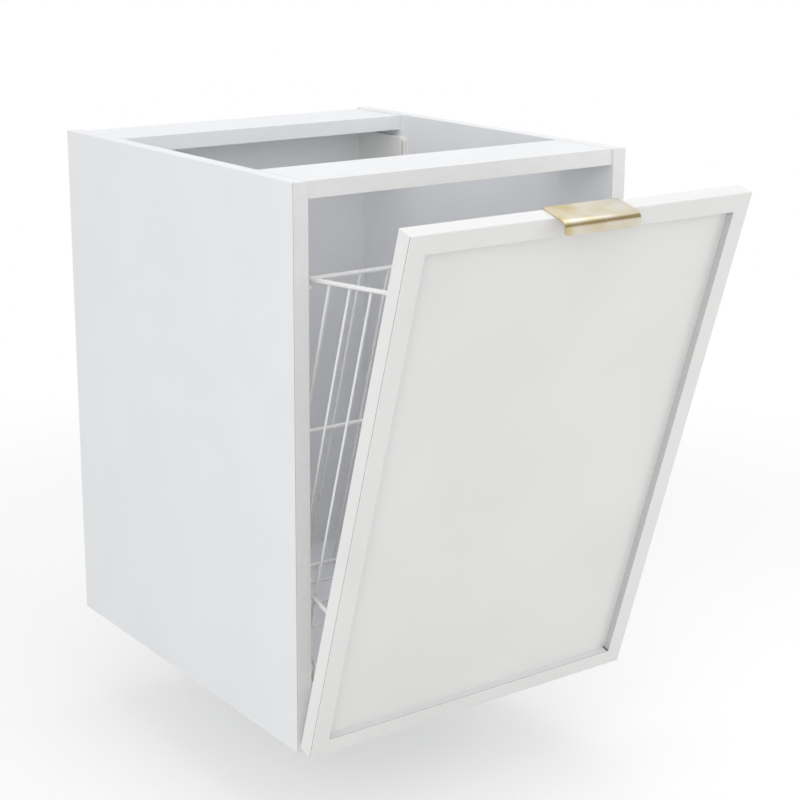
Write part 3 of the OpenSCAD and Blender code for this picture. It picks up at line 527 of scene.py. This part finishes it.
def makeBoardSeams():
    wide = seams["width"] * mm
    skin = seams["skin"] * mm
    strips = []
    # the bands' glue lines, darkened as painted shade
    for name, side in (("side_edge_band_left", -1), ("side_edge_band_right", 1)):
        low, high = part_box(name)
        outer = low[0] if side < 0 else high[0]
        strips.append(addBlock((outer, low[1], low[2]),
                               (outer + side * skin, low[1] + wide, high[2])))
    # painted shade where the rails butt against the side panels
    for name in ("front_top_rail", "back_top_rail"):
        low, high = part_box(name)
        for side, end in ((-1, low[0]), (1, high[0])):
            strips.append(addBlock((end, low[1], high[2] - wide),
                                   (end + side * wide / 2, high[1], high[2] + skin)))
    lines = joinBlocks(strips, "boardSeams")
    glueAndShade = shadeHairline("wipedGlueLine", seams["low"], seams["high"])
    finishPiece(lines, "carcass", "white_edge_band", finish=glueAndShade)


def makeDoorLines():
    wide = seams["width"] * mm
    skin = seams["skin"] * mm
    frameWidth = recess["frame"] * mm
    strips = []
    # painted shade along the door's two side arrises
    for side, edge in ((-1, doorLow.x), (1, doorHigh.x)):
        strips.append(addBlock((edge, doorLow.y + wide, doorLow.z + wide),
                               (edge + side * skin, doorLow.y + 2 * wide, doorHigh.z - wide)))
    # a painted shadow line on the frame, just under the recess's lower ledge
    ledge = doorLow.z + frameWidth
    under = ledge - seams["ledgeLine"] * mm
    strips.append(addBlock((doorLow.x + frameWidth, doorLow.y - skin, under),
                           (doorHigh.x - frameWidth, doorLow.y, ledge)))
    lines = joinBlocks(strips, "doorArrisLines")
    tiltOpen(lines)
    arrisShade = shadeHairline("rubbedArris", seams["low"], seams["high"])
    finishPiece(lines, "door", "white_lacquer", finish=arrisShade)


makeBoardSeams()
makeDoorLines()
print("laundry cabinet: seams drawn")


# the studio: the floor lies floorDrop mm under the cabinet, and its other sizes are in metres;
# cameraLift and paper reach only the rays that see it, where a strength of 1 is white
studio = {"floorDrop": 120, "floorSize": 40, "floorTone": "#DEDEDD", "cameraLift": 0.315,
          "fadeFrom": 0.75, "fadeTo": 1.7, "paper": 1.0, "worldTone": "#F8F9FA", "worldLight": 0.66}


def seenDirectly(tree):
    # 1 for rays that the camera sends straight, by a mirror or through glass, 0 for light
    rays = addNode(tree, "ShaderNodeLightPath").outputs
    mirrored = addNode(tree, "ShaderNodeMath", {"operation": "MAXIMUM"},
                       links={0: rays["Is Camera Ray"], 1: rays["Is Glossy Ray"]})
    seen = addNode(tree, "ShaderNodeMath", {"operation": "MAXIMUM"},
                   links={0: mirrored.outputs["Value"], 1: rays["Is Transmission Ray"]})
    return seen.outputs["Value"]


def makeFloor():
    place = (0, 0, -studio["floorDrop"] * mm)
    bpy.ops.mesh.primitive_plane_add(size=studio["floorSize"], location=place)
    floor = bpy.context.active_object
    floor.name = "studioFloor"
    material = bpy.data.materials.new("paleStudioFloor")
    material.use_nodes = True
    tree = material.node_tree
    tree.nodes.clear()
    seen = seenDirectly(tree)
    plain = addNode(tree, "ShaderNodeBsdfDiffuse", values={"Color": linear(studio["floorTone"])})
    lifted = addNode(tree, "ShaderNodeMath", {"operation": "MULTIPLY"},
                     values={1: studio["cameraLift"]}, links={0: seen})
    lift = addNode(tree, "ShaderNodeEmission", links={"Strength": lifted.outputs["Value"]})
    near = addNode(tree, "ShaderNodeAddShader",
                   links={0: plain.outputs["BSDF"], 1: lift.outputs["Emission"]})
    # away from the cabinet the floor is seen as white paper, which lights nothing
    coords = addNode(tree, "ShaderNodeTexCoord").outputs["Object"]
    distance = addNode(tree, "ShaderNodeVectorMath", {"operation": "LENGTH"}, links={0: coords})
    fade = addNode(tree, "ShaderNodeMapRange", {"interpolation_type": "SMOOTHSTEP"},
                   values={"From Min": studio["fadeFrom"], "From Max": studio["fadeTo"]},
                   links={"Value": distance.outputs["Value"]}).outputs["Result"]
    share = addNode(tree, "ShaderNodeMath", {"operation": "MULTIPLY"}, links={0: seen, 1: fade})
    paper = addNode(tree, "ShaderNodeEmission", values={"Strength": studio["paper"]})
    both = addNode(tree, "ShaderNodeMixShader", links={
        0: share.outputs["Value"], 1: near.outputs["Shader"], 2: paper.outputs["Emission"]})
    addNode(tree, "ShaderNodeOutputMaterial", links={"Surface": both.outputs["Shader"]})
    floor.data.materials.append(material)


def makeWorld():
    world = bpy.data.worlds.new("studioWorld")
    bpy.context.scene.world = world
    world.use_nodes = True
    tree = world.node_tree
    tree.nodes.clear()
    seen = seenDirectly(tree)
    light = addNode(tree, "ShaderNodeBackground", values={
        "Color": linear(studio["worldTone"]), "Strength": studio["worldLight"]})
    paper = addNode(tree, "ShaderNodeBackground", values={
        "Color": linear("#FFFFFF"), "Strength": studio["paper"]})
    mix = addNode(tree, "ShaderNodeMixShader", links={
        0: seen, 1: light.outputs["Background"], 2: paper.outputs["Background"]})
    addNode(tree, "ShaderNodeOutputWorld", links={"Surface": mix.outputs["Shader"]})


# a brown card that only mirror reflections see: it draws the bronze line along the pull's bend
card = {"place": (0.33, -0.885, 0.83), "aim": (0, -0.45, 0.6), "size": (1.8, 0.34),
        "tone": "#C4AE80", "rough": 0.95}


def makeCard():
    place = Vector(card["place"])
    bpy.ops.mesh.primitive_plane_add(size=1, location=place)
    flag = bpy.context.active_object
    flag.name = "studioFlag"
    flag.scale = (*card["size"], 1)
    flag.rotation_euler = (Vector(card["aim"]) - place).to_track_quat("Z", "Y").to_euler()
    material = bpy.data.materials.new("tanCard")
    material.use_nodes = True
    shader = material.node_tree.nodes["Principled BSDF"]
    shader.inputs["Base Color"].default_value = linear(card["tone"])
    shader.inputs["Roughness"].default_value = card["rough"]
    flag.data.materials.append(material)
    flag.visible_camera = False
    flag.visible_diffuse = False
    flag.visible_transmission = False
    flag.visible_shadow = False


# softboxes that face the cabinet's middle: metres and watts; only the overhead one is mirrored
lampTarget = (0, 0, 0.3)
lamps = {
    "overheadSoftbox": {
        "place": (0.2, -0.3, 2.6), "size": (2.6, 2.4), "power": 17, "mirrored": True},
    "frontLeftSoftbox": {
        "place": (-2.0, -2.2, 1.4), "size": (1.8, 2.0), "power": 18, "mirrored": False},
    "rightSoftbox": {
        "place": (1.25, -1.3, 0.8), "size": (1.0, 1.2), "power": 4.8, "mirrored": False},
    "leftSoftbox": {
        "place": (-2.8, -0.3, 1.3), "size": (1.8, 2.2), "power": 10, "mirrored": False},
}


def makeLamps():
    for name, values in lamps.items():
        lamp = bpy.data.lights.new(name, "AREA")
        lamp.shape = "RECTANGLE"
        lamp.size, lamp.size_y = values["size"]
        lamp.energy = values["power"]
        holder = bpy.data.objects.new(name, lamp)
        bpy.context.scene.collection.objects.link(holder)
        place = Vector(values["place"])
        holder.location = place
        holder.rotation_euler = (Vector(lampTarget) - place).to_track_quat("-Z", "Y").to_euler()
        holder.visible_glossy = values["mirrored"]


# angles in degrees, from the target back to the camera; distance in metres, lens and sensor in mm
view = {"target": (0, -0.0365, 0.3481), "azimuth": -34.94, "elevation": 14.91, "distance": 2.1204,
        "lens": 79.45, "sensor": 36, "shiftX": 0.0575, "shiftY": -0.0374}


def makeCamera():
    turn = math.radians(view["azimuth"])
    rise = math.radians(view["elevation"])
    level = math.cos(rise)
    back = Vector((math.sin(turn) * level, -math.cos(turn) * level, math.sin(rise)))
    camera = bpy.data.cameras.new("photoCamera")
    camera.lens = view["lens"]
    camera.sensor_width = view["sensor"]
    camera.shift_x = view["shiftX"]
    camera.shift_y = view["shiftY"]
    holder = bpy.data.objects.new("photoCamera", camera)
    bpy.context.scene.collection.objects.link(holder)
    holder.location = Vector(view["target"]) + back * view["distance"]
    holder.rotation_euler = (-back).to_track_quat("-Z", "Y").to_euler()
    bpy.context.scene.camera = holder


makeFloor()
makeWorld()
makeCard()
makeLamps()
makeCamera()
bpy.context.scene.view_settings.view_transform = "Standard"
print("laundry cabinet: studio and camera set")
